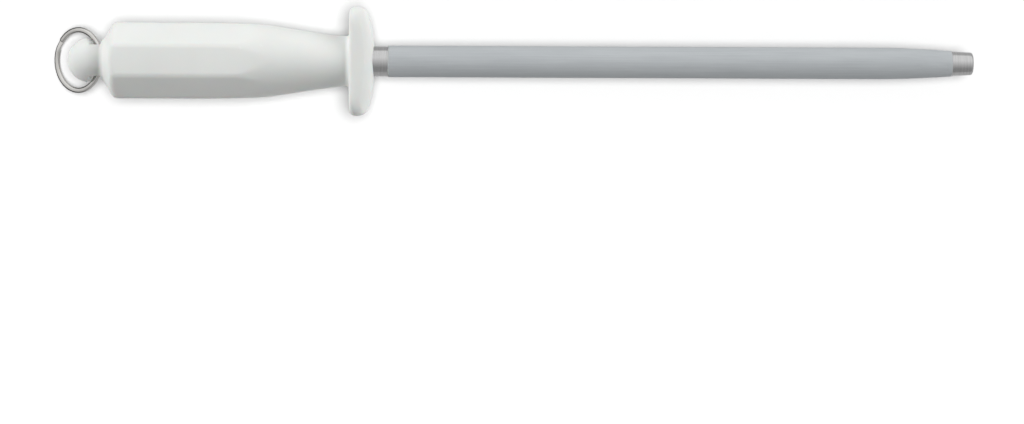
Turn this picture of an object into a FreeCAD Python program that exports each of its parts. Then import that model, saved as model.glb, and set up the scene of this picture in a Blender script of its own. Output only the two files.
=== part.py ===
"""Knife sharpening steel: a round steel rod moulded into an eight-sided plastic handle.

X runs along the rod towards its tip, Y along the guard and the ring's swing axis, Z up.
The steel lies on one flat of its grip, at z = 0, and the split ring hangs down on to
the same surface.  Lengths are in millimetres.  Distances along the steel are measured
from the guard's front, so what lies behind it, in the handle, is given as a negative x.
"""
import FreeCAD, Part
import math
import os

import Sketcher

DIMENSIONS = [
    # name, value
    ("axis_height", "15.9"),       # from the grip's flat to the rod's axis
    # rod
    ("rod_radius", "6.55"),
    ("rod_length", "250"),         # guard's front to tip
    ("root_radius", "6.25"),       # smooth band next to the guard
    ("root_length", "6.1"),
    ("taper_start", "213"),
    ("taper_radius", "430"),       # of the arc that rounds the taper
    ("taper_end", "241.2"),
    ("taper_end_radius", "5.3"),
    ("tip_base_radius", "5.1"),    # smooth tip
    ("tip_radius", "4.75"),
    ("tip_chamfer", "1.1"),
    ("shank_end", "-16"),          # where the rod steps down to its tang
    ("tang_radius", "4"),
    ("tang_end", "-92"),
    ("tang_flat", "3"),            # half the thickness between the tang's flats
    ("tang_flat_length", "18"),
    ("tang_groove_radius", "3.1"),
    ("tang_groove_width", "3"),
    ("tang_groove_place", "-34"),
    ("tang_groove_pitch", "14"),
    # grip
    ("grip_apothem", "15.9"),      # axis to flat
    ("grip_corner", "17.05"),      # axis to the blunted edge between flats
    ("flat_bend_start", "-75"),    # the flats bow inwards from here forwards
    ("flat_bend_radius", "625"),
    ("flat_front", "-40"),
    ("shoulder_foot", "-113"),
    ("shoulder_top", "-107.7"),
    ("waist_start", "-62"),        # round, conical part of the grip
    ("waist_curve", "1500"),
    ("waist_end", "-21"),
    ("waist_end_radius", "11.45"),
    ("neck_curve", "100"),
    ("neck_radius", "10.5"),
    ("neck_fillet", "2"),          # where the neck meets the guard
    # ball knob and the ring's eye
    ("ball_radius", "9.3"),
    ("ball_end", "-128"),
    ("knob_neck_radius", "8.6"),
    ("eye_place", "-115.3"),
    ("eye_radius", "2.6"),
    ("eye_half_length", "6.5"),    # axis to the floor of each side notch
    ("notch_back", "2.95"),         # from the eye axis to the notch's back wall
    ("notch_front", "1.6"),
    ("notch_flare", "1.9"),        # widening of the notch at the ball's surface
    ("notch_flare_depth", "1.9"),
    # guard
    ("guard_half_length", "22.7"),
    ("guard_half_width", "13.5"),
    ("guard_corner", "7.5"),
    ("guard_thickness", "10"),
    ("guard_dome_long", "68"),     # radius of the front's curve along the guard
    ("guard_dome_cross", "15.5"),  # radius of the front's curve across the guard
    ("guard_round", "2.4"),        # of the edge round its back
    # core inside the grip
    ("core_radius", "10"),
    ("core_front_radius", "7.2"),
    ("core_end", "-100"),
    ("core_waist", "-58"),
    ("core_front", "-24"),
    ("core_groove_depth", "1.2"),
    ("core_groove_width", "4"),
    ("core_groove_pitch", "8"),
    # split ring
    ("ring_radius", "13.85"),
    ("ring_inner_radius", "11.6"),
    ("ring_thickness", "1.9"),     # both turns
    ("ring_seam", "0.16"),         # width and depth of the groove between the turns
    ("ring_offset", "11.6"),       # eye axis to ring centre
    ("ring_droop", "36.45"),       # degrees below straight back, lying on the surface
]

doc = FreeCAD.newDocument("sharpening_steel")
sheet = doc.addObject("Spreadsheet::Sheet", "Dims")
for row, (name, value) in enumerate(DIMENSIONS, start=1):
    sheet.set(f"A{row}", name)
    sheet.set(f"B{row}", value)
    sheet.setAlias(f"B{row}", name)
doc.recompute()

GRIP_FLATS = 8
TANG_GROOVES = 3
CORE_GROOVES = 5

# The origin is midway between the hanging ring's far edge and the rod's tip.
RING_REACH = (
    "(-Dims.eye_place + (Dims.ring_offset + Dims.ring_radius) * cos(Dims.ring_droop)"
    " + Dims.ring_thickness / 2 * sin(Dims.ring_droop))"
)
GUARD_PLACE = f"({RING_REACH} - Dims.rod_length) / 2"


def value_of(expression):
    """The number an expression of the sheet's names gives."""
    result = sheet.evalExpression(expression)
    return float(getattr(result, "Value", result))


def origin_plane(body, role):
    return next(item for item in body.Origin.OriginFeatures if item.Role == role)


def new_body(name):
    """A body whose x = 0 is the guard's front and whose x axis is the rod's axis."""
    body = doc.addObject("PartDesign::Body", name)
    body.setExpression("Placement.Base.x", GUARD_PLACE)
    body.setExpression("Placement.Base.z", "Dims.axis_height")
    return body


def arc_through(start, end, radius, side):
    """The arc from start to end that bulges to the left (side 1) or right (-1)."""
    chord = end - start
    middle = (start + end) * 0.5
    height = math.sqrt(max(radius**2 - (chord.Length / 2) ** 2, 0.0))
    left = FreeCAD.Vector(-chord.y, chord.x, 0).normalize()
    centre = middle - left * (height * side)
    circle = Part.Circle(centre, FreeCAD.Vector(0, 0, 1), radius)
    first, last = (end, start) if side > 0 else (start, end)
    return Part.ArcOfCircle(circle, circle.parameter(first), circle.parameter(last))


def outline(body, name, role, corners, arcs=None):
    """A closed sketch through corners, each a pair of expressions, on an origin plane.

    arcs gives {index of the corner where it starts: (radius, side)}.
    """
    arcs = arcs or {}
    sketch = body.newObject("Sketcher::SketchObject", name)
    sketch.AttachmentSupport = (origin_plane(body, role), [""])
    sketch.MapMode = "FlatFace"
    points = [FreeCAD.Vector(value_of(x), value_of(y), 0) for x, y in corners]
    ends = []
    for index, start in enumerate(points):
        end = points[(index + 1) % len(points)]
        if index in arcs:
            radius, side = arcs[index]
            geometry = arc_through(start, end, value_of(radius), side)
            ends.append((2, 1) if side > 0 else (1, 2))
        else:
            geometry = Part.LineSegment(start, end)
            ends.append((1, 2))
        sketch.addGeometry(geometry, False)
    for index in range(len(points)):
        following = (index + 1) % len(points)
        sketch.addConstraint(Sketcher.Constraint(
            "Coincident", index, ends[index][1], following, ends[following][0]))
    for index, (x, y) in enumerate(corners):
        for kind, expression in (("DistanceX", x), ("DistanceY", y)):
            number = sketch.addConstraint(Sketcher.Constraint(
                kind, -1, 1, index, ends[index][0], value_of(expression)))
            sketch.setExpression(f"Constraints[{number}]", expression)
    for index, (radius, _) in arcs.items():
        number = sketch.addConstraint(Sketcher.Constraint("Radius", index, value_of(radius)))
        sketch.setExpression(f"Constraints[{number}]", radius)
    return sketch


def revolved(body, name, sketch, kind="PartDesign::Revolution"):
    feature = body.newObject(kind, name)
    feature.Profile = sketch
    feature.ReferenceAxis = (sketch, ["H_Axis"])
    feature.Angle = 360
    body.Tip = feature
    return feature


def cut_through(body, name, sketch):
    feature = body.newObject("PartDesign::Pocket", name)
    feature.Profile = sketch
    feature.Type = "ThroughAll"
    feature.SideType = "Symmetric"
    body.Tip = feature
    return feature


def row_of(body, name, feature, count, pitch):
    """Repeats a feature along the body's x axis."""
    pattern = body.newObject("PartDesign::LinearPattern", name)
    pattern.Originals = [feature]
    pattern.Direction = (origin_plane(body, "X_Axis"), [""])
    pattern.Reversed = True
    pattern.Occurrences = count
    pattern.setExpression("Length", f"{pitch} * {count - 1}")
    body.Tip = pattern
    return pattern


def make_rod():
    """The hardened rod, its smooth root and tip, and the notched tang behind them."""
    body = new_body("sharpening_rod")
    corners = [
        ("Dims.tang_end", "0"),
        ("Dims.tang_end", "Dims.tang_radius"),
        ("Dims.shank_end", "Dims.tang_radius"),
        ("Dims.shank_end", "Dims.root_radius"),
        ("Dims.root_length", "Dims.root_radius"),
        ("Dims.root_length", "Dims.rod_radius"),
        ("Dims.taper_start", "Dims.rod_radius"),
        ("Dims.taper_end", "Dims.taper_end_radius"),
        ("Dims.taper_end", "Dims.tip_base_radius"),
        ("Dims.rod_length - Dims.tip_chamfer", "Dims.tip_radius"),
        ("Dims.rod_length", "Dims.tip_radius - Dims.tip_chamfer"),
        ("Dims.rod_length", "0"),
    ]
    sketch = outline(body, "rod_outline", "XY_Plane", corners, {6: ("Dims.taper_radius", 1)})
    revolved(body, "rod_turned", sketch)
    doc.recompute()

    left = "Dims.tang_groove_place - Dims.tang_groove_width"
    right = "Dims.tang_groove_place"
    low, high = "Dims.tang_groove_radius", "Dims.tang_radius + 1"
    sketch = outline(body, "tang_groove_outline", "XY_Plane",
                     [(left, low), (left, high), (right, high), (right, low)])
    groove = revolved(body, "tang_groove", sketch, "PartDesign::Groove")
    row_of(body, "tang_grooves", groove, TANG_GROOVES, "Dims.tang_groove_pitch")
    doc.recompute()

    left, right = "Dims.tang_end - 1", "Dims.tang_end + Dims.tang_flat_length"
    for side, sign in (("upper", ""), ("lower", "-")):
        low, high = f"{sign}Dims.tang_flat", f"{sign}(Dims.tang_radius + 1)"
        sketch = outline(body, f"tang_{side}_flat_outline", "XZ_Plane",
                         [(left, low), (left, high), (right, high), (right, low)])
        cut_through(body, f"tang_{side}_flat", sketch)
    return body


def make_core_blank():
    """Grooved plastic core, still without its hole for the tang."""
    body = new_body("core_blank")
    corners = [
        ("Dims.core_end", "0"),
        ("Dims.core_end", "Dims.core_radius"),
        ("Dims.core_waist", "Dims.core_radius"),
        ("Dims.core_front", "Dims.core_front_radius"),
        ("Dims.core_front", "0"),
    ]
    revolved(body, "core_turned", outline(body, "core_outline", "XY_Plane", corners))
    doc.recompute()
    left = "Dims.core_waist - Dims.core_groove_width"
    right = "Dims.core_waist"
    low, high = "Dims.core_radius - Dims.core_groove_depth", "Dims.core_radius + 1"
    sketch = outline(body, "core_groove_outline", "XY_Plane",
                     [(left, low), (left, high), (right, high), (right, low)])
    groove = revolved(body, "core_groove", sketch, "PartDesign::Groove")
    row_of(body, "core_grooves", groove, CORE_GROOVES, "Dims.core_groove_pitch")
    return body


def add_guard(body):
    """The guard: a rounded block with a domed front."""
    long, wide, corner = "Dims.guard_half_length", "Dims.guard_half_width", "Dims.guard_corner"
    corners = [
        (f"-{long} + {corner}", f"-{wide}"), (f"{long} - {corner}", f"-{wide}"),
        (long, f"-{wide} + {corner}"), (long, f"{wide} - {corner}"),
        (f"{long} - {corner}", wide), (f"-{long} + {corner}", wide),
        (f"-{long}", f"{wide} - {corner}"), (f"-{long}", f"-{wide} + {corner}"),
    ]
    arcs = {index: (corner, -1) for index in (1, 3, 5, 7)}
    block = body.newObject("PartDesign::Pad", "guard_block")
    block.Profile = outline(body, "guard_outline", "YZ_Plane", corners, arcs)
    block.setExpression("Length", "Dims.guard_thickness")
    block.Reversed = True
    body.Tip = block
    doc.recompute()

    back = block.Shape.BoundBox.XMin
    rim = [f"Edge{number}" for number, edge in enumerate(block.Shape.Edges, start=1)
           if edge.BoundBox.XMax < back + 0.01]
    rounded = body.newObject("PartDesign::Fillet", "guard_back_edge")
    rounded.Base = (block, rim)
    rounded.setExpression("Radius", "Dims.guard_round")
    body.Tip = rounded
    doc.recompute()

    for name, role, reach, radius in (
        ("long", "XY_Plane", f"({long} + 1)", "Dims.guard_dome_long"),
        ("cross", "XZ_Plane", f"({wide} + 1)", "Dims.guard_dome_cross"),
    ):
        drop = f"sqrt({radius} ^ 2 - {reach} ^ 2) - {radius}"
        corners = [(drop, reach), (drop, f"-{reach}"), ("5", f"-{reach}"), ("5", reach)]
        sketch = outline(body, f"guard_{name}_dome_outline", role, corners, {0: (radius, 1)})
        cut_through(body, f"guard_{name}_dome", sketch)
        doc.recompute()


def add_grip(body):
    """Knob, shoulder, grip and neck, turned about the rod's axis."""
    ball, neck = "Dims.ball_radius", "Dims.knob_neck_radius"
    fillet, inside_guard = "Dims.neck_fillet", "-Dims.guard_thickness + 3"
    corners = [
        ("Dims.ball_end", "0"),
        (f"Dims.ball_end + {ball} + sqrt({ball} ^ 2 - {neck} ^ 2)", neck),
        ("Dims.shoulder_foot", neck),
        ("Dims.shoulder_top", "Dims.grip_corner"),
        ("Dims.waist_start", "Dims.grip_corner"),
        ("Dims.waist_end", "Dims.waist_end_radius"),
        (f"-Dims.guard_thickness - {fillet}", "Dims.neck_radius"),
        ("-Dims.guard_thickness", f"Dims.neck_radius + {fillet}"),
        (inside_guard, f"Dims.neck_radius + {fillet}"),
        (inside_guard, "0"),
    ]
    arcs = {0: (ball, 1), 4: ("Dims.waist_curve", 1), 5: ("Dims.neck_curve", -1), 6: (fillet, -1)}
    revolved(body, "grip_turned", outline(body, "grip_outline", "XY_Plane", corners, arcs))
    doc.recompute()


def cut_flats(body):
    """The grip's eight flats, which bow inwards towards the waist."""
    flat, clear = "Dims.grip_apothem", "Dims.grip_corner + 1"
    bow = "sqrt(Dims.flat_bend_radius ^ 2 - (Dims.flat_front - Dims.flat_bend_start) ^ 2)"
    corners = [
        ("Dims.shoulder_foot", flat),
        ("Dims.flat_bend_start", flat),
        ("Dims.flat_front", f"{flat} - Dims.flat_bend_radius + {bow}"),
        ("Dims.flat_front", clear),
        ("Dims.shoulder_foot", clear),
    ]
    arcs = {1: ("Dims.flat_bend_radius", 1)}
    sketch = outline(body, "flat_outline", "XY_Plane", corners, arcs)
    pocket = cut_through(body, "flat", sketch)
    doc.recompute()
    flats = body.newObject("PartDesign::PolarPattern", "flats")
    flats.Originals = [pocket]
    flats.Axis = (origin_plane(body, "X_Axis"), [""])
    flats.Angle = 360
    flats.Occurrences = GRIP_FLATS
    body.Tip = flats
    doc.recompute()


def cut_eye(body):
    """The ring's eye through the knob, and the notch across each side that it opens into."""
    sketch = body.newObject("Sketcher::SketchObject", "eye_outline")
    sketch.AttachmentSupport = (origin_plane(body, "XZ_Plane"), [""])
    sketch.MapMode = "FlatFace"
    centre = FreeCAD.Vector(value_of("Dims.eye_place"), 0, 0)
    circle = Part.Circle(centre, FreeCAD.Vector(0, 0, 1), value_of("Dims.eye_radius"))
    sketch.addGeometry(circle, False)
    for kind, target, expression in (
        ("DistanceX", (-1, 1, 0, 3), "Dims.eye_place"),
        ("DistanceY", (-1, 1, 0, 3), "0"),
        ("Radius", (0,), "Dims.eye_radius"),
    ):
        number = sketch.addConstraint(Sketcher.Constraint(kind, *target, value_of(expression)))
        sketch.setExpression(f"Constraints[{number}]", expression)
    cut_through(body, "eye", sketch)
    doc.recompute()

    back, front = "Dims.eye_place - Dims.notch_back", "Dims.eye_place + Dims.notch_front"
    flared = f"{back} - Dims.notch_flare"
    floor, surface = "Dims.eye_half_length", "Dims.ball_radius"
    for side, sign in (("left", ""), ("right", "-")):
        corners = [
            (back, f"{sign}{floor}"),
            (back, f"{sign}({surface} - Dims.notch_flare_depth)"),
            (flared, f"{sign}{surface}"),
            (flared, f"{sign}({surface} + 1)"),
            (front, f"{sign}({surface} + 1)"),
            (front, f"{sign}{floor}"),
        ]
        cut_through(body, f"{side}_notch", outline(body, f"{side}_notch_outline", "XY_Plane", corners))
        doc.recompute()


def make_handle_blank():
    """The moulded handle's outside, as one solid."""
    body = new_body("handle_blank")
    add_guard(body)
    add_grip(body)
    cut_flats(body)
    cut_eye(body)
    return body


def make_boolean(kind, name, base, tool):
    result = doc.addObject(kind, name)
    result.Base = base
    result.Tool = tool
    return result


def make_ring():
    """The split ring: two flat turns, with the seam between them as a fine groove."""
    body = doc.addObject("PartDesign::Body", "split_ring")
    inner, outer = "Dims.ring_inner_radius", "Dims.ring_radius"
    half, seam = "Dims.ring_thickness / 2", "Dims.ring_seam"
    corners = [
        (inner, f"-{half}"), (outer, f"-{half}"),
        (outer, f"-{seam} / 2"), (f"{outer} - {seam}", "0"), (outer, f"{seam} / 2"),
        (outer, half), (inner, half),
        (inner, f"{seam} / 2"), (f"{inner} + {seam}", "0"), (inner, f"-{seam} / 2"),
    ]
    sketch = outline(body, "ring_section", "XZ_Plane", corners)
    turns = body.newObject("PartDesign::Revolution", "ring_turned")
    turns.Profile = sketch
    turns.ReferenceAxis = (sketch, ["V_Axis"])
    turns.Angle = 360
    body.Tip = turns
    body.Placement = FreeCAD.Placement(
        FreeCAD.Vector(), FreeCAD.Rotation(FreeCAD.Vector(0, -1, 0), value_of("Dims.ring_droop")))
    reach, drop = "Dims.ring_offset * cos(Dims.ring_droop)", "Dims.ring_offset * sin(Dims.ring_droop)"
    body.setExpression("Placement.Base.x", f"{GUARD_PLACE} + Dims.eye_place - {reach}")
    body.setExpression("Placement.Base.z", f"Dims.axis_height - {drop}")
    body.setExpression("Placement.Rotation.Angle", "Dims.ring_droop")
    return body


def check_document():
    """Stops on any object that failed to build."""
    for item in doc.Objects:
        if "Invalid" in item.State or "Error" in item.State:
            raise RuntimeError(f"{item.Name} failed: {item.State}")


rod = make_rod()
core_blank = make_core_blank()
handle_blank = make_handle_blank()
ring = make_ring()
doc.recompute()

core = make_boolean("Part::Cut", "handle_core", core_blank, rod)
insert = make_boolean("Part::Fuse", "insert", core_blank, rod)
handle = make_boolean("Part::Cut", "handle", handle_blank, insert)
doc.recompute()
check_document()

os.makedirs("parts", exist_ok=True)
for part in (rod, handle, core, ring):
    shape = part.Shape
    if shape.isNull() or not shape.isValid():
        raise RuntimeError(f"{part.Label} has no valid shape")
    shape.exportStep(f"parts/{part.Label}.step")
    box = shape.optimalBoundingBox()
    print(f"{part.Label}: {len(shape.Solids)} solid, {shape.Volume:.0f} mm3,"
          f" x {box.XMin:.2f}..{box.XMax:.2f}, y {box.YMin:.2f}..{box.YMax:.2f},"
          f" z {box.ZMin:.2f}..{box.ZMax:.2f}")
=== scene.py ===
"""Knife sharpening steel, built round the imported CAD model.

The handle, the rod and the split ring are modelled here in millimetres along the rod:
x = 0 is the guard's front, + towards the tip, y runs along the guard and z up, both
from the rod's axis.  place() takes such points into the frame, in metres.
"""
import math

import bpy
import numpy as np
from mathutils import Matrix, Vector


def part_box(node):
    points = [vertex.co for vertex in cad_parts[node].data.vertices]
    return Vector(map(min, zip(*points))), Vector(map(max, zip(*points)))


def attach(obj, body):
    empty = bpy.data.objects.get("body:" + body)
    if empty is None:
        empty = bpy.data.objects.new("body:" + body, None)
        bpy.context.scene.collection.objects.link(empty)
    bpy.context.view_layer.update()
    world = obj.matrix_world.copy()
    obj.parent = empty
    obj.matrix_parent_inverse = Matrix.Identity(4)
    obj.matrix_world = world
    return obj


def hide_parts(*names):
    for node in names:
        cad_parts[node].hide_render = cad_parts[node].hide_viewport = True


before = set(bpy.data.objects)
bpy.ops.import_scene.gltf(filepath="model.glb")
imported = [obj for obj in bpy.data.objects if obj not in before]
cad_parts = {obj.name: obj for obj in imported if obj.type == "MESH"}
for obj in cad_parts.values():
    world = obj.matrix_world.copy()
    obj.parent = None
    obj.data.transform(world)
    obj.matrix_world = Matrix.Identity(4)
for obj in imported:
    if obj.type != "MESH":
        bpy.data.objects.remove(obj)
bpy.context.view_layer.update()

import openvdb
from mathutils import Vector

MM = 0.001

# Rod, mm.
ROD_LENGTH = 250.0           # guard's front to tip
ROD_RADIUS = 6.55            # over the ribs
ROOT_RADIUS = 6.25
ROOT_LENGTH = 6.1
TAPER_START, TAPER_END = 213.0, 241.2
TAPER_END_RADIUS = 5.3
TAPER_BEND = 0.65            # 0 would make the taper a cone, 1 start it level with the rod
TIP_BASE_RADIUS, TIP_RADIUS, TIP_CHAMFER = 5.1, 4.75, 1.1
SHANK_END, TANG_RADIUS, TANG_END = -16.0, 4.0, -92.0
TANG_FLAT, TANG_FLAT_LENGTH = 3.0, 18.0
TANG_GROOVES = [(-37.0, -34.0), (-51.0, -48.0), (-65.0, -62.0)]
TANG_GROOVE_RADIUS = 3.1
RIBS, RIB_DEPTH, RIB_SAMPLES = 116, 0.09, 5

# Handle, mm.
APOTHEM = 15.9               # axis to each of the grip's eight flats
FLAT_BEND_START, FLAT_BEND_RADIUS, CROWN_RADIUS = -75.0, 625.0, 85.0
SHOULDER_FOOT, SHOULDER_FOOT_RADIUS = -113.0, 8.6
SHOULDER_TOP, SHOULDER_TOP_RADIUS = -107.7, 17.05
WAIST_PLACE, WAIST_RADIUS, WAIST_SLOPE = -21.0, 11.45, -0.143
NECK_RADIUS, NECK_SOFTNESS, NECK_FILLET = 10.3, 0.35, 2.0
BALL_PLACE, BALL_RADIUS = -118.7, 9.3
EYE_PLACE, EYE_RADIUS, EYE_HALF_LENGTH = -115.3, 2.6, 6.5
NOTCH_BACK, NOTCH_FRONT, NOTCH_FLARE, NOTCH_FLARE_DEPTH = 2.95, 1.6, 1.9, 1.9
GUARD_THICKNESS, GUARD_HALF_LENGTH, GUARD_HALF_WIDTH, GUARD_CORNER = 10.0, 22.7, 13.5, 7.5
GUARD_END_FALL = 3.5e-4      # the front falls back by this times y cubed, towards its ends
GUARD_EDGE_FALL = 1.95e-4    # and by this times z to the fourth
CORE_END, CORE_WAIST, CORE_FRONT = -100.0, -58.0, -24.0
CORE_RADIUS, CORE_FRONT_RADIUS = 10.0, 7.2
SWELL_HEIGHT, SWELL_PLACE, SWELL_HALF_LENGTH = 0.24, -43.0, 20.0   # a slight belly in the waist
STEM_HALF_LENGTH = 5.0
HOLLOW_CLEARANCE = 0.02
VOXEL = 0.52
GRID_LOW, GRID_HIGH = (-129.5, -24.0, -17.5), (1.5, 24.0, 17.5)
GRID_BAND = 3 * VOXEL
SURFACE_PASSES = 5           # each moves the points nearer to the exact surface

# Edge roundings and fillets on the handle, mm.
OCTAGON_EDGE, RUN_OUT_EDGE, SHOULDER_EDGE = 0.8, 0.22, 1.4
GUARD_BACK_EDGE, GUARD_FRONT_EDGE = 2.4, 1.8
STEM_FILLET, KNOB_FILLET = 0.6, 1.1
NOTCH_CORNER, NOTCH_EDGE, EYE_EDGE = 0.35, 0.55, 0.3
SHANK_EDGE, CORE_EDGE, HOLLOW_EDGE = 0.3, 0.4, 0.3

# Split ring, mm.
RING_RADIUS, RING_INNER_RADIUS, RING_TURN, RING_LIP = 13.85, 11.6, 0.855, 0.08
RING_OFFSET, RING_DROOP = 11.6, math.radians(36.45)
RING_START, RING_END_GAP, RING_STEP_HALF = math.radians(150), math.radians(9), math.radians(13)
RING_STEPS, RING_CORNERS = 420, 32
RING_END_SIZE = 0.86         # the wire's two ends are this much of its full section

# Stage and camera.
FLOOR_HALF = 3.0             # m
WORLD_LEVEL = 0.05           # the backdrop's brightness for matte surfaces
CAMERA_DISTANCE = 1.15       # m, from the rod's axis
CAMERA_PLACE = 57.6          # mm along the rod
CAMERA_TILT = math.radians(0.245)
VIEW_WIDTH = 0.428           # m, seen across the image in the plane of the rod's axis
VIEW_SHIFT = -0.146582       # of the image's width; the steel lies high in the picture
SENSOR_WIDTH, CLIP_END = 36, 20

rod_low, rod_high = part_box("sharpening_rod")
GUARD_X = rod_high[0] - ROD_LENGTH * MM
AXIS_Z = (rod_low[2] + rod_high[2]) / 2


def place(points):
    """Points along the rod, mm, to the frame, m."""
    return np.asarray(points, float) * MM + (GUARD_X, 0.0, AXIS_Z)


# ---------------------------------------------------------------- mesh helpers

def make_mesh(name, vertices, faces, normals=None):
    """A smooth-shaded object from frame coordinates."""
    mesh = bpy.data.meshes.new(name)
    mesh.from_pydata([tuple(v) for v in vertices], [], [tuple(int(i) for i in f) for f in faces])
    mesh.validate()
    mesh.shade_smooth()
    if normals is not None:
        mesh.normals_split_custom_set_from_vertices([tuple(n) for n in normals])
    piece = bpy.data.objects.new(name, mesh)
    bpy.context.scene.collection.objects.link(piece)
    return piece


def grid_faces(rows, columns):
    """Quads between rows of points, each row a closed loop."""
    row, column = np.mgrid[0:rows - 1, 0:columns]
    following = (column + 1) % columns
    corners = [row * columns + column, row * columns + following,
               (row + 1) * columns + following, (row + 1) * columns + column]
    return np.stack([c.ravel() for c in corners], axis=1)


def round_and(a, b, radius):
    """Both solids' common part, its edge rounded."""
    both = np.hypot(np.maximum(a + radius, 0), np.maximum(b + radius, 0))
    return np.minimum(-radius, np.maximum(a, b)) + both


def round_or(a, b, radius):
    """Both solids together, the corner between them filleted."""
    both = np.hypot(np.maximum(radius - a, 0), np.maximum(radius - b, 0))
    return np.maximum(radius, np.minimum(a, b)) - both


# ---------------------------------------------------------------------- handle

def grip_field(x, y, z, r):
    """Distance, mm, to the octagonal grip with its conical waist and shoulder."""
    bow = np.maximum(x - FLAT_BEND_START, 0) ** 2 / (2 * FLAT_BEND_RADIUS)
    apothem = APOTHEM - bow
    across, up = np.abs(y), np.abs(z)
    side = across - apothem + z**2 / (2 * CROWN_RADIUS)
    top = up - apothem + y**2 / (2 * CROWN_RADIUS)
    diagonal = (across + up) / math.sqrt(2) - apothem + (across - up) ** 2 / (4 * CROWN_RADIUS)
    octagon = round_and(round_and(side, diagonal, OCTAGON_EDGE), top, OCTAGON_EDGE)

    line = WAIST_RADIUS + WAIST_SLOPE * (x - WAIST_PLACE)
    swell = SWELL_HEIGHT * np.maximum(1 - ((x - SWELL_PLACE) / SWELL_HALF_LENGTH) ** 2, 0) ** 2
    above = (line + swell - NECK_RADIUS) / NECK_SOFTNESS
    waist_radius = NECK_RADIUS + np.logaddexp(0, above) * NECK_SOFTNESS
    waist = (r - waist_radius) / math.hypot(1, WAIST_SLOPE)

    run, rise = SHOULDER_TOP - SHOULDER_FOOT, SHOULDER_TOP_RADIUS - SHOULDER_FOOT_RADIUS
    shoulder = ((r - SHOULDER_FOOT_RADIUS) * run - (x - SHOULDER_FOOT) * rise) / math.hypot(run, rise)
    grip = round_and(octagon, waist, RUN_OUT_EDGE)
    grip = round_and(grip, shoulder, SHOULDER_EDGE)
    return np.maximum(grip, x + GUARD_THICKNESS / 2)


def guard_field(x, y, z):
    """Distance, mm, to the guard: a rounded slab whose front falls away to its rim."""
    inner_y = np.abs(y) - (GUARD_HALF_LENGTH - GUARD_CORNER)
    inner_z = np.abs(z) - (GUARD_HALF_WIDTH - GUARD_CORNER)
    side = np.hypot(np.maximum(inner_y, 0), np.maximum(inner_z, 0)) - GUARD_CORNER
    side = side + np.minimum(np.maximum(inner_y, inner_z), 0)
    back = -x - GUARD_THICKNESS
    steep_y, steep_z = 3 * GUARD_END_FALL * y**2, 4 * GUARD_EDGE_FALL * np.abs(z) ** 3
    dome = x + steep_y * np.abs(y) / 3 + steep_z * np.abs(z) / 4
    dome = dome / np.sqrt(1 + steep_y**2 + steep_z**2)
    return round_and(round_and(side, back, GUARD_BACK_EDGE), dome, GUARD_FRONT_EDGE)


def knob_field(x, r):
    """Distance, mm, to the ball and the short stem that joins it to the shoulder."""
    ball = np.sqrt((x - BALL_PLACE) ** 2 + r**2) - BALL_RADIUS
    stem = np.maximum(r - SHOULDER_FOOT_RADIUS, np.abs(x - SHOULDER_FOOT) - STEM_HALF_LENGTH)
    return round_or(ball, stem, STEM_FILLET)


def hollow_field(x, r):
    """What the handle is moulded round: the rod, its tang and the core."""
    rod = round_and(r - ROOT_RADIUS - HOLLOW_CLEARANCE, SHANK_END - x, SHANK_EDGE)
    tang = np.maximum(r - TANG_RADIUS, np.maximum(TANG_END - x, x))
    ends = (CORE_FRONT_RADIUS - CORE_RADIUS) / (CORE_FRONT - CORE_WAIST)
    outside = r - CORE_RADIUS - ends * np.maximum(x - CORE_WAIST, 0)
    core = round_and(outside, np.maximum(CORE_END - x, x - CORE_FRONT), CORE_EDGE)
    return np.minimum(rod, np.minimum(tang, core))


def handle_field(x, y, z):
    """Distance, mm, to the whole moulding, with the ring's notches and eye cut out."""
    r = np.hypot(y, z)
    handle = round_or(grip_field(x, y, z, r), knob_field(x, r), KNOB_FILLET)
    handle = round_or(handle, guard_field(x, y, z), NECK_FILLET)

    out = np.abs(y)
    flare_start = BALL_RADIUS - NOTCH_FLARE_DEPTH
    flare = np.maximum(out - flare_start, 0) * NOTCH_FLARE / NOTCH_FLARE_DEPTH
    behind, ahead = EYE_PLACE - x - NOTCH_BACK - flare, x - EYE_PLACE - NOTCH_FRONT
    notch = round_and(EYE_HALF_LENGTH - out, np.maximum(behind, ahead), NOTCH_CORNER)
    handle = round_and(handle, -notch, NOTCH_EDGE)
    eye = np.hypot(x - EYE_PLACE, z) - EYE_RADIUS
    handle = round_and(handle, -eye, EYE_EDGE)
    return round_and(handle, -hollow_field(x, r), HOLLOW_EDGE)


def field_slope(points, step=0.02):
    """The handle field's gradient at points."""
    slope = np.empty_like(points)
    for axis in range(3):
        shift = np.zeros(3)
        shift[axis] = step
        ahead, behind = points + shift, points - shift
        slope[:, axis] = (handle_field(*ahead.T) - handle_field(*behind.T)) / (2 * step)
    return slope


def make_handle():
    """The handle field's surface as quads, its points then moved onto the exact shape."""
    low = np.array(GRID_LOW)
    count = np.ceil((np.array(GRID_HIGH) - low) / VOXEL).astype(int) + 1
    axes = [low[i] + VOXEL * np.arange(count[i]) for i in range(3)]
    x, y, z = np.meshgrid(*axes, indexing="ij", sparse=True)
    values = handle_field(x, y, z)
    volume = openvdb.FloatGrid(GRID_BAND)
    volume.copyFromArray(np.clip(values, -GRID_BAND, GRID_BAND))
    points, faces = volume.convertToQuads(0.0)
    points = low + VOXEL * np.asarray(points, float)
    for _ in range(SURFACE_PASSES):
        slope = field_slope(points)
        squared = np.maximum((slope**2).sum(axis=1), 0.05)
        step = handle_field(*points.T) / squared
        points = points - slope * np.clip(step, -0.3, 0.3)[:, None]
    slope = field_slope(points)
    normals = slope / np.linalg.norm(slope, axis=1)[:, None]
    corners = points[faces]
    facing = np.cross(corners[:, 2] - corners[:, 0], corners[:, 3] - corners[:, 1])
    if (facing * normals[faces[:, 0]]).sum() < 0:
        faces = faces[:, ::-1]
    return make_mesh("handle_moulding", place(points), faces, normals)


# ------------------------------------------------------------------------- rod

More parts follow.
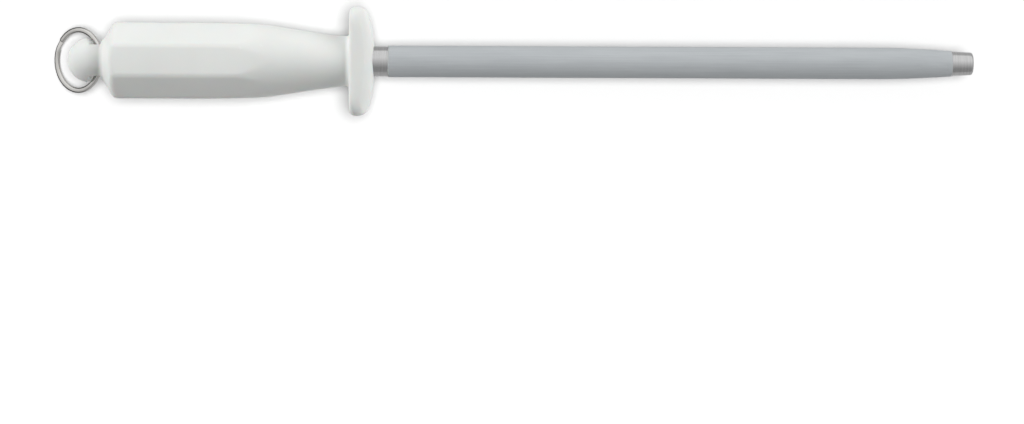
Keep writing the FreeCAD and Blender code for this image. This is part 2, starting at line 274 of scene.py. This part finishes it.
def taper_radius(x):
    """Outside radius along the tapered end, which narrows faster towards the tip."""
    share = np.clip((x - TAPER_START) / (TAPER_END - TAPER_START), 0, 1)
    return ROD_RADIUS - (ROD_RADIUS - TAPER_END_RADIUS) * (TAPER_BEND * share**2 + (1 - TAPER_BEND) * share)


def rod_rows():
    """(x, radius, rib depth share) of each loop of points, tang to tip."""
    rows = [(TANG_END, TANG_RADIUS - 0.5, 0), (TANG_END + 0.5, TANG_RADIUS, 0)]
    rows += [(TANG_END + TANG_FLAT_LENGTH - 0.05, TANG_RADIUS, 0),
             (TANG_END + TANG_FLAT_LENGTH + 0.05, TANG_RADIUS, 0)]
    for start, end in sorted(TANG_GROOVES):
        rows += [(start - 0.02, TANG_RADIUS, 0), (start, TANG_GROOVE_RADIUS, 0),
                 (end, TANG_GROOVE_RADIUS, 0), (end + 0.02, TANG_RADIUS, 0)]
    rows += [(SHANK_END, TANG_RADIUS, 0), (SHANK_END, TANG_RADIUS, 0),
             (SHANK_END, ROOT_RADIUS - 0.3, 0), (SHANK_END + 0.3, ROOT_RADIUS, 0)]
    rows += [(x, ROOT_RADIUS, 0) for x in np.linspace(-0.5, ROOT_LENGTH - 0.35, 6)]
    rise = ROD_RADIUS - ROOT_RADIUS
    for share in (0.0, 0.25, 0.5, 0.75, 1.0):
        rows.append((ROOT_LENGTH - 0.25 + 0.35 * share, ROOT_RADIUS + rise * share, 0.8 * share))
    rows += [(x, ROD_RADIUS, 1) for x in np.linspace(ROOT_LENGTH + 0.6, TAPER_START, 40)]
    rows += [(x, float(taper_radius(x)), 1) for x in np.linspace(TAPER_START, TAPER_END - 0.3, 26)[1:]]
    fall = TAPER_END_RADIUS - TIP_BASE_RADIUS
    for share in (0.0, 0.25, 0.5, 0.75, 1.0):
        rows.append((TAPER_END - 0.2 + 0.2 * share, TAPER_END_RADIUS - fall * share, 0.9 * (1 - share)))
    rows += [(x, TIP_BASE_RADIUS + (TIP_RADIUS - TIP_BASE_RADIUS) * (x - TAPER_END)
              / (ROD_LENGTH - TIP_CHAMFER - TAPER_END), 0)
             for x in np.linspace(TAPER_END + 0.1, ROD_LENGTH - TIP_CHAMFER, 8)]
    for angle in np.radians((22.5, 45, 67.5, 90)):
        rows.append((ROD_LENGTH - TIP_CHAMFER * (1 - math.sin(angle)),
                     TIP_RADIUS - TIP_CHAMFER * (1 - math.cos(angle)), 0))
    rows += [(ROD_LENGTH, radius, 0) for radius in (2.4, 1.2)]
    return rows


def make_rod():
    """The ribbed rod and its tang, one loop of points for each row."""
    columns = RIBS * RIB_SAMPLES
    angle = 2 * np.pi * np.arange(columns) / columns
    wave = (0.5 - 0.5 * np.cos(RIBS * angle)) ** 0.8
    loops, ribbed = [], []
    for x, radius, depth in rod_rows():
        r = radius - RIB_DEPTH * depth * wave
        y, z = r * np.cos(angle), r * np.sin(angle)
        if x < TANG_END + TANG_FLAT_LENGTH:
            z = np.clip(z, -TANG_FLAT, TANG_FLAT)
        loops.append(np.stack([np.full(columns, x), y, z], axis=1))
        ribbed += [float(depth)] * columns
    points = np.concatenate(loops + [[(TANG_END, 0, 0), (ROD_LENGTH, 0, 0)]])
    ribbed += [0.0, 0.0]
    faces = [list(face) for face in grid_faces(len(loops), columns)[:, ::-1]]
    tail, tip = len(points) - 2, len(points) - 1
    last = (len(loops) - 1) * columns
    for column in range(columns):
        following = (column + 1) % columns
        faces.append([tail, column, following])
        faces.append([last + column, tip, last + following])
    piece = make_mesh("honing_rod", place(points), faces)
    mask = piece.data.attributes.new("ribbed", "FLOAT", "POINT")
    mask.data.foreach_set("value", ribbed)
    return piece


# ------------------------------------------------------------------ split ring

def make_ring():
    """Flat wire wound twice, its ends either side of the step between the turns."""
    wire_half = (RING_RADIUS - RING_INNER_RADIUS) / 2
    middle = (RING_RADIUS + RING_INNER_RADIUS) / 2
    turn = np.linspace(RING_END_GAP, 4 * np.pi - RING_END_GAP, RING_STEPS)
    share = np.clip((turn - 2 * np.pi + RING_STEP_HALF) / (2 * RING_STEP_HALF), 0, 1)
    upper = share * share * (3 - 2 * share)
    around = 2 * np.pi * np.arange(RING_CORNERS) / RING_CORNERS
    out = np.sign(np.cos(around)) * np.abs(np.cos(around)) ** 0.85 * wire_half
    bulge = np.sign(np.sin(around)) * np.abs(np.sin(around)) ** 0.8
    loops = []
    for index, (at, up) in enumerate(zip(turn, upper)):
        size = RING_END_SIZE if index in (0, RING_STEPS - 1) else 1.0
        radius = middle + out * size
        depth = RING_LIP + (RING_TURN - RING_LIP) * np.where(bulge > 0, up, 1 - up)
        height = (2 * up - 1) * (RING_LIP + 0.01) + bulge * depth * size
        angle = at + RING_START
        loops.append(np.stack([radius * np.cos(angle), radius * np.sin(angle), height], axis=1))
    points = np.concatenate(loops)
    faces = [list(face) for face in grid_faces(RING_STEPS, RING_CORNERS)]
    faces.append(list(range(RING_CORNERS))[::-1])
    faces.append([(RING_STEPS - 1) * RING_CORNERS + i for i in range(RING_CORNERS)])
    points[:, 0] -= RING_OFFSET
    x = points[:, 0] * math.cos(RING_DROOP) - points[:, 2] * math.sin(RING_DROOP)
    z = points[:, 0] * math.sin(RING_DROOP) + points[:, 2] * math.cos(RING_DROOP)
    points = np.stack([x + EYE_PLACE, points[:, 1], z], axis=1)
    return make_mesh("key_ring_wire", place(points), faces)


# ------------------------------------------------------------------- materials

EVEN = (1, 1, 1)             # a texture scaled alike on all axes
MID_NOISE = (0.3, 0.7)       # the part of a noise's range that a ramp spreads out


def new_material(name):
    material = bpy.data.materials.new(name)
    material.use_nodes = True
    return material, material.node_tree.nodes["Principled BSDF"], Nodes(material.node_tree)


class Nodes:
    """Short calls for adding linked shader nodes."""

    def __init__(self, tree):
        self.tree = tree

    def add(self, kind, inputs=None, **settings):
        node = self.tree.nodes.new(kind)
        for key, value in settings.items():
            setattr(node, key, value)
        for key, value in (inputs or {}).items():
            if isinstance(value, bpy.types.NodeSocket):
                self.tree.links.new(value, node.inputs[key])
            else:
                node.inputs[key].default_value = value
        return node

    def link(self, source, target):
        self.tree.links.new(source, target)

    def coords(self, scale):
        place_ = self.add("ShaderNodeTexCoord")
        return self.add("ShaderNodeMapping", {"Vector": place_.outputs["Object"], "Scale": scale}).outputs[0]

    def noise(self, scale, size, detail=3, roughness=0.5):
        return self.add("ShaderNodeTexNoise", {
            "Vector": self.coords(scale), "Scale": size, "Detail": detail, "Roughness": roughness,
        }).outputs["Fac"]

    def ramp(self, source, low, high, from_low, from_high):
        """source taken from from_low..from_high to low..high."""
        return self.add("ShaderNodeMapRange", {
            "Value": source, "From Min": from_low, "From Max": from_high, "To Min": low, "To Max": high,
        }).outputs[0]

    def mix(self, share, first, second):
        return self.add("ShaderNodeMix", {0: share, 6: first, 7: second}, data_type="RGBA").outputs[2]

    def maths(self, operation, first, second):
        return self.add("ShaderNodeMath", {0: first, 1: second}, operation=operation).outputs[0]

    def bump(self, height, strength, distance, before=None):
        inputs = {"Height": height, "Strength": strength, "Distance": distance}
        if before is not None:
            inputs["Normal"] = before
        return self.add("ShaderNodeBump", inputs).outputs[0]


def handle_material():
    """Moulded white plastic: fine grain, a parting line, grime with painted shade in the concave corners,
    polished edges.
    """
    material, shader, nodes = new_material("white_polypropylene")
    broad = nodes.ramp(nodes.noise(EVEN, 45, 3), 0, 1, *MID_NOISE)
    colour = nodes.mix(broad, (0.745, 0.765, 0.745, 1), (0.775, 0.79, 0.77, 1))
    patches = nodes.ramp(nodes.noise(EVEN, 170, 5), 0.2, 1, 0.4, 0.65)
    curved = nodes.add("ShaderNodeNewGeometry").outputs["Pointiness"]
    # Concave corners and fillets darkened towards a dirt tone: grime and painted shade together, patchy.
    grime_and_shade = nodes.maths("MULTIPLY", nodes.ramp(curved, 0.5, 0, 0.40, 0.485), patches)
    edge = nodes.maths("MULTIPLY", nodes.ramp(curved, 0, 1, 0.515, 0.58), patches)
    colour = nodes.mix(grime_and_shade, colour, (0.52, 0.50, 0.44, 1))
    colour = nodes.mix(nodes.maths("MULTIPLY", edge, 0.35), colour, (0.84, 0.85, 0.84, 1))
    axes = nodes.add("ShaderNodeSeparateXYZ", {0: nodes.coords(EVEN)}).outputs
    off_plane = nodes.maths("ABSOLUTE", nodes.maths("SUBTRACT", axes["Z"], AXIS_Z), 0.0)
    parting = nodes.ramp(off_plane, 1, 0, 0.00006, 0.00022)
    colour = nodes.mix(nodes.maths("MULTIPLY", parting, 0.18), colour, (0.60, 0.60, 0.57, 1))
    nodes.link(colour, shader.inputs["Base Color"])
    matte = nodes.ramp(nodes.noise(EVEN, 260, 4), 0.36, 0.5, *MID_NOISE)
    scuffs = nodes.ramp(nodes.noise((1, 0.12, 1), 900, 5), 0, 0.1, 0.55, 0.7)
    rough = nodes.maths("SUBTRACT", nodes.maths("ADD", matte, scuffs), nodes.maths("MULTIPLY", edge, 0.12))
    nodes.link(rough, shader.inputs["Roughness"])
    seam = nodes.bump(parting, 0.5, 0.00008)
    grain = nodes.bump(nodes.noise(EVEN, 2600, 2), 0.25, 0.00006, seam)
    nodes.link(grain, shader.inputs["Normal"])
    shader.inputs["IOR"].default_value = 1.49
    shader.inputs["Subsurface Weight"].default_value = 0.15
    shader.inputs["Subsurface Scale"].default_value = 0.002
    return material


def core_material():
    """Plain plastic without pigment, never seen from outside."""
    material, shader, nodes = new_material("unpigmented_polypropylene")
    tone = nodes.mix(nodes.noise(EVEN, 120, 3), (0.50, 0.50, 0.46, 1), (0.60, 0.60, 0.56, 1))
    nodes.link(tone, shader.inputs["Base Color"])
    shader.inputs["Roughness"].default_value = 0.5
    nodes.link(nodes.bump(nodes.noise(EVEN, 1500, 2), 0.3, 0.0001), shader.inputs["Normal"])
    return material


def rod_material():
    """Matte where the rod is ribbed, bright and turned where it is smooth."""
    material, shader, nodes = new_material("rod_steel")
    ribbed = nodes.add("ShaderNodeAttribute", attribute_name="ribbed").outputs["Fac"]
    streaks = nodes.noise((0.02, 1, 1), 1800, 3)
    turned = nodes.noise((1, 0.02, 0.02), 4200, 3)
    patch = nodes.noise((0.25, 1, 1), 160, 4)
    cut = nodes.mix(nodes.ramp(streaks, 0, 1, *MID_NOISE), (0.59, 0.615, 0.632, 1), (0.635, 0.66, 0.675, 1))
    bare = nodes.mix(nodes.ramp(turned, 0, 1, *MID_NOISE), (0.46, 0.46, 0.46, 1), (0.54, 0.54, 0.54, 1))
    nodes.link(nodes.mix(ribbed, bare, cut), shader.inputs["Base Color"])
    shader.inputs["Metallic"].default_value = 1.0
    rough_bare = nodes.ramp(turned, 0.14, 0.2, *MID_NOISE)
    rough_cut = nodes.ramp(patch, 0.66, 0.74, *MID_NOISE)
    scaled_cut = nodes.maths("MULTIPLY", rough_cut, ribbed)
    scaled_bare = nodes.maths("MULTIPLY", rough_bare, nodes.maths("SUBTRACT", 1.0, ribbed))
    nodes.link(nodes.maths("ADD", scaled_cut, scaled_bare), shader.inputs["Roughness"])
    nodes.link(nodes.bump(turned, 0.03, 0.00002), shader.inputs["Normal"])
    return material


def ring_material():
    """Nickel plate, slightly smeared."""
    material, shader, nodes = new_material("bright_nickel")
    smear = nodes.noise(EVEN, 300, 4)
    nodes.link(nodes.mix(smear, (0.53, 0.52, 0.50, 1), (0.66, 0.65, 0.63, 1)), shader.inputs["Base Color"])
    shader.inputs["Metallic"].default_value = 1.0
    nodes.link(nodes.ramp(nodes.noise(EVEN, 900, 4), 0.05, 0.13, *MID_NOISE), shader.inputs["Roughness"])
    nodes.link(nodes.bump(nodes.noise(EVEN, 2200, 3), 0.12, 0.00003), shader.inputs["Normal"])
    return material


# --------------------------------------------------------------- the object

def finish_piece(piece, material, body, node):
    piece.data.materials.append(material)
    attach(piece, body)
    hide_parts(node)


handle = make_handle()
rod = make_rod()
ring = make_ring()
finish_piece(handle, handle_material(), "steel", "handle")
finish_piece(rod, rod_material(), "steel", "sharpening_rod")
finish_piece(ring, ring_material(), "ring", "split_ring")
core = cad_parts["handle_core"]
core.data.materials.clear()
core.data.materials.append(core_material())

# ---------------------------------------------------- floor, light and camera

def make_floor():
    mesh = bpy.data.meshes.new("floor")
    half = FLOOR_HALF
    mesh.from_pydata([(-half, -half, 0), (half, -half, 0), (half, half, 0), (-half, half, 0)], [],
                     [(0, 1, 2, 3)])
    floor = bpy.data.objects.new("floor", mesh)
    bpy.context.scene.collection.objects.link(floor)
    material, shader, nodes = new_material("paper_floor")
    tone = nodes.mix(nodes.noise(EVEN, 3, 2), (0.49, 0.49, 0.49, 1), (0.51, 0.51, 0.51, 1))
    nodes.link(tone, shader.inputs["Base Color"])
    shader.inputs["Roughness"].default_value = 0.9
    shader.inputs["Specular IOR Level"].default_value = 0.1
    mesh.materials.append(material)
    floor.visible_glossy = False
    return floor


def make_sun(name, towards, power, spread, receivers):
    """A soft light from a far direction, which lights the receivers only.

    power is what a white surface that faces it shows, and spread the light's width in degrees.
    """
    data = bpy.data.lights.new(name, "SUN")
    data.energy = power * math.pi
    data.angle = math.radians(spread)
    light = bpy.data.objects.new(name, data)
    light.rotation_euler = Vector(towards).to_track_quat("Z", "Y").to_euler()
    light.visible_glossy = False
    bpy.context.scene.collection.objects.link(light)
    light.light_linking.receiver_collection = receivers
    return light


def make_group(name, objects):
    group = bpy.data.collections.new(name)
    for item in objects:
        group.objects.link(item)
    return group


def make_world():
    """Dim for matte surfaces; for reflections brighter towards +y, like a studio with one lit wall."""
    world = bpy.data.worlds.new("studio")
    world.use_nodes = True
    nodes = Nodes(world.node_tree)
    background = world.node_tree.nodes["Background"]
    direction = nodes.add("ShaderNodeTexCoord").outputs["Generated"]
    axes = nodes.add("ShaderNodeSeparateXYZ", {0: direction}).outputs
    wall = nodes.ramp(axes["Y"], 0.40, 1.15, -0.75, 0.5)
    ground = nodes.ramp(axes["X"], 0.08, 0.64, -0.5, 0.0)
    above = nodes.ramp(axes["Z"], 0.0, 1.0, -0.12, 0.06)
    lit = nodes.add("ShaderNodeMix", {0: above, 2: ground, 3: wall}).outputs[0]
    glossy = nodes.add("ShaderNodeLightPath").outputs["Is Glossy Ray"]
    strength = nodes.add("ShaderNodeMix", {0: glossy, 2: WORLD_LEVEL, 3: lit}).outputs[0]
    nodes.link(strength, background.inputs["Strength"])
    background.inputs["Color"].default_value = (1, 1, 1, 1)
    world.cycles.sampling_method = "NONE"
    bpy.context.scene.world = world


floor = make_floor()
object_group = make_group("lit_object", [handle, rod, ring, core])
floor_group = make_group("lit_floor", [floor])
make_sun("back_light", (0.0, 0.75, 0.66), 0.08, 50, object_group)
make_sun("left_light", (-0.85, 0.26, 0.5), 0.85, 50, object_group)
make_sun("right_light", (0.85, 0.26, 0.5), 0.77, 50, object_group)
make_sun("floor_light", (0.1, 0.0, 1.0), 1.60, 26, floor_group)
make_sun("floor_fill", (0.0, 0.0, 1.0), 0.42, 140, floor_group)
make_world()

camera_data = bpy.data.cameras.new("camera")
camera_data.sensor_width = SENSOR_WIDTH
camera_data.lens = SENSOR_WIDTH * CAMERA_DISTANCE / VIEW_WIDTH
camera_data.shift_y = VIEW_SHIFT
camera_data.clip_end = CLIP_END
camera = bpy.data.objects.new("camera", camera_data)
camera.location = (GUARD_X + CAMERA_PLACE * MM, 0.0, AXIS_Z + CAMERA_DISTANCE)
camera.rotation_euler = (0, 0, CAMERA_TILT)
bpy.context.scene.collection.objects.link(camera)
bpy.context.scene.camera = camera
bpy.context.scene.view_settings.view_transform = "Standard"
